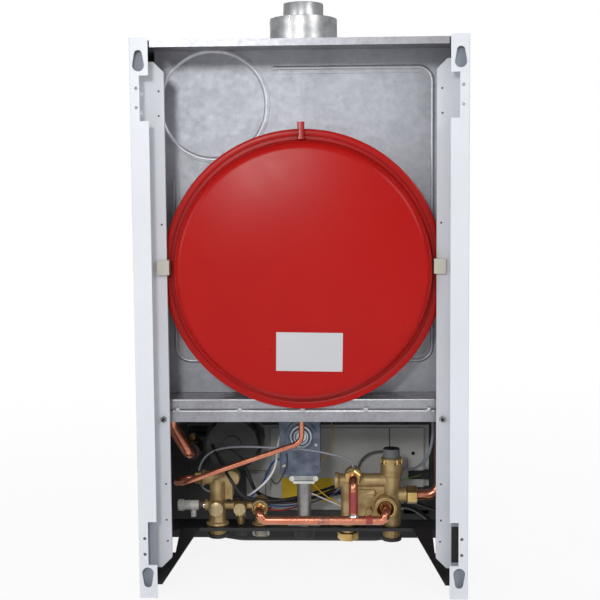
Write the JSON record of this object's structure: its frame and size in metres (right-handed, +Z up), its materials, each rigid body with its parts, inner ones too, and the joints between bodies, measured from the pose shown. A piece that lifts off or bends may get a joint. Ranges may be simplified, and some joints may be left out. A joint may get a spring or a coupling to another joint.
{
  "type": "wall-hung gas boiler",
  "caption": "Wall-hung sealed-chamber gas boiler with concentric flue collars, red flat expansion vessel, brass water groups and a tilting control box.",
  "frame": {"origin": "midpoint between the narrow ends of the two upper hanging keyholes, on the wall plane", "axes": "+Z up, +Y into the wall, +X to the right seen from the front"},
  "size_m": [0.45, 0.347, 0.8297],
  "materials": {
    "white_paint": "smooth white stove enamel",
    "galvanised": "galvanised sheet with faint spangle",
    "black_steel": "black powder coat",
    "red_paint": "glossy red enamel",
    "red_metal": "glossy red paint on a small valve",
    "zinc": "zinc-plated steel",
    "duct": "satin die-cast aluminium",
    "brass": "shot-blasted cast brass with machined faces",
    "bright_brass": "machined brass",
    "copper": "drawn copper tube",
    "valve_casting": "die-cast grey alloy",
    "grey_plastic": "moulded light grey plastic",
    "black_plastic": "textured black plastic",
    "cap_plastic": "soft transport caps",
    "clip_plastic": "beige nylon",
    "knob_plastic": "pale grey nylon",
    "dark_knob": "dark moulded plastic",
    "red_knob": "red moulded plastic",
    "steel_parts": "plain steel",
    "fibre_board": "ceramic fibre board",
    "ceramic": "glazed ceramic insulator",
    "glass": "heat resisting glass",
    "rubber": "black rubber",
    "board": "green laminate with components",
    "gauge_face": "white dial in a dark can",
    "needle": "red needle",
    "cable_sheath": "coloured cable sheaths"
  },
  "bodies": {
    "root": {"side_panel_right": "white_paint", "side_panel_left": "white_paint", "inner_upright_right": "white_paint", "inner_upright_left": "white_paint", "top_frame": "galvanised", "chamber_back_plate": "galvanised", "chamber_shell": "galvanised", "chamber_cover": "galvanised", "sight_glass": "glass", "crossbar": "galvanised", "support_tray": "black_steel", "case_screws": "zinc", "flue_outer_collar": "duct", "flue_inner_collar": "duct", "flue_hood": "galvanised", "fan_housing": "galvanised", "fan_motor": "black_plastic", "air_pressure_switch": "grey_plastic", "combustion_casing": "galvanised", "combustion_lining": "fibre_board", "heat_exchanger": "copper", "burner": "steel_parts", "gas_manifold": "zinc", "electrodes": "ceramic", "gas_valve": "valve_casting", "gas_inlet_pipe": "zinc", "vessel_rear_shell": "red_paint", "vessel_front_shell": "red_paint", "vessel_diaphragm": "rubber", "vessel_air_valve": "red_metal", "vessel_clips": "clip_plastic", "vessel_pipe": "copper", "return_group": "brass", "flow_group": "brass", "valve_cap": "grey_plastic", "drain_cock": "knob_plastic", "pump_body": "bright_brass", "pump_motor": "black_plastic", "flow_pipe": "copper", "return_pipe": "copper", "bypass_pipe": "copper", "connection_caps": "cap_plastic", "brass_nuts": "bright_brass", "cables": "cable_sheath"},
    "front_cover": {"front_cover": "white_paint"},
    "control_panel": {"control_box": "black_plastic", "control_box_back": "grey_plastic", "circuit_board": "board", "pressure_gauge": "gauge_face"},
    "heating_knob": {"heating_knob": "dark_knob"},
    "water_knob": {"water_knob": "dark_knob"},
    "reset_button": {"reset_button": "dark_knob"},
    "gauge_needle": {"gauge_needle": "needle"},
    "fan_wheel": {"fan_wheel": "galvanised"},
    "pump_impeller": {"pump_impeller": "steel_parts"},
    "valve_spindle": {"valve_spindle": "bright_brass"},
    "drain_knob": {"drain_knob": "knob_plastic"},
    "filling_knob": {"filling_knob": "dark_knob"},
    "safety_knob": {"safety_knob": "red_knob"}
  },
  "joints": [
    {"name": "front_cover_lift_off", "type": "slide", "parent": "root", "child": "front_cover", "axis": [0, -1, 0], "range_m": [0, 0.06]},
    {"name": "control_panel_tilt", "type": "hinge", "parent": "root", "child": "control_panel", "pos_m": [0, -0.268, -0.726], "axis": [1, 0, 0], "range_deg": [0, 88]},
    {"name": "heating_knob_turn", "type": "hinge", "parent": "control_panel", "child": "heating_knob", "pos_m": [-0.12, -0.335, -0.648], "axis": [0, 1, 0], "range_deg": [-135, 135]},
    {"name": "water_knob_turn", "type": "hinge", "parent": "control_panel", "child": "water_knob", "pos_m": [-0.062, -0.335, -0.648], "axis": [0, 1, 0], "range_deg": [-135, 135]},
    {"name": "reset_button_press", "type": "slide", "parent": "control_panel", "child": "reset_button", "axis": [0, 1, 0], "range_m": [0, 0.002], "stiffness_N_per_m": 400, "springref_m": -0.001},
    {"name": "gauge_needle_turn", "type": "hinge", "parent": "control_panel", "child": "gauge_needle", "pos_m": [0.11, -0.333, -0.648], "axis": [0, -1, 0], "range_deg": [-120, 120]},
    {"name": "fan_wheel_spin", "type": "hinge", "parent": "root", "child": "fan_wheel", "pos_m": [-0.032, -0.178, -0.088], "axis": [0, 1, 0], "continuous": true},
    {"name": "pump_impeller_spin", "type": "hinge", "parent": "root", "child": "pump_impeller", "pos_m": [0.112, -0.22, -0.562], "axis": [0, 1, 0], "continuous": true},
    {"name": "valve_spindle_lift", "type": "slide", "parent": "root", "child": "valve_spindle", "axis": [0, 0, 1], "range_m": [0, 0.004], "stiffness_N_per_m": 300, "springref_m": -0.002},
    {"name": "drain_knob_turn", "type": "hinge", "parent": "root", "child": "drain_knob", "pos_m": [0.18, -0.15, -0.648], "axis": [1, 0, 0], "range_deg": [0, 180]},
    {"name": "filling_knob_turn", "type": "hinge", "parent": "root", "child": "filling_knob", "pos_m": [0.0975, -0.15, -0.69], "axis": [0, 0, 1], "range_deg": [0, 270]},
    {"name": "safety_knob_turn", "type": "hinge", "parent": "root", "child": "safety_knob", "pos_m": [0.1325, -0.19, -0.652], "axis": [0, 1, 0], "range_deg": [-90, 0]}
  ]
}
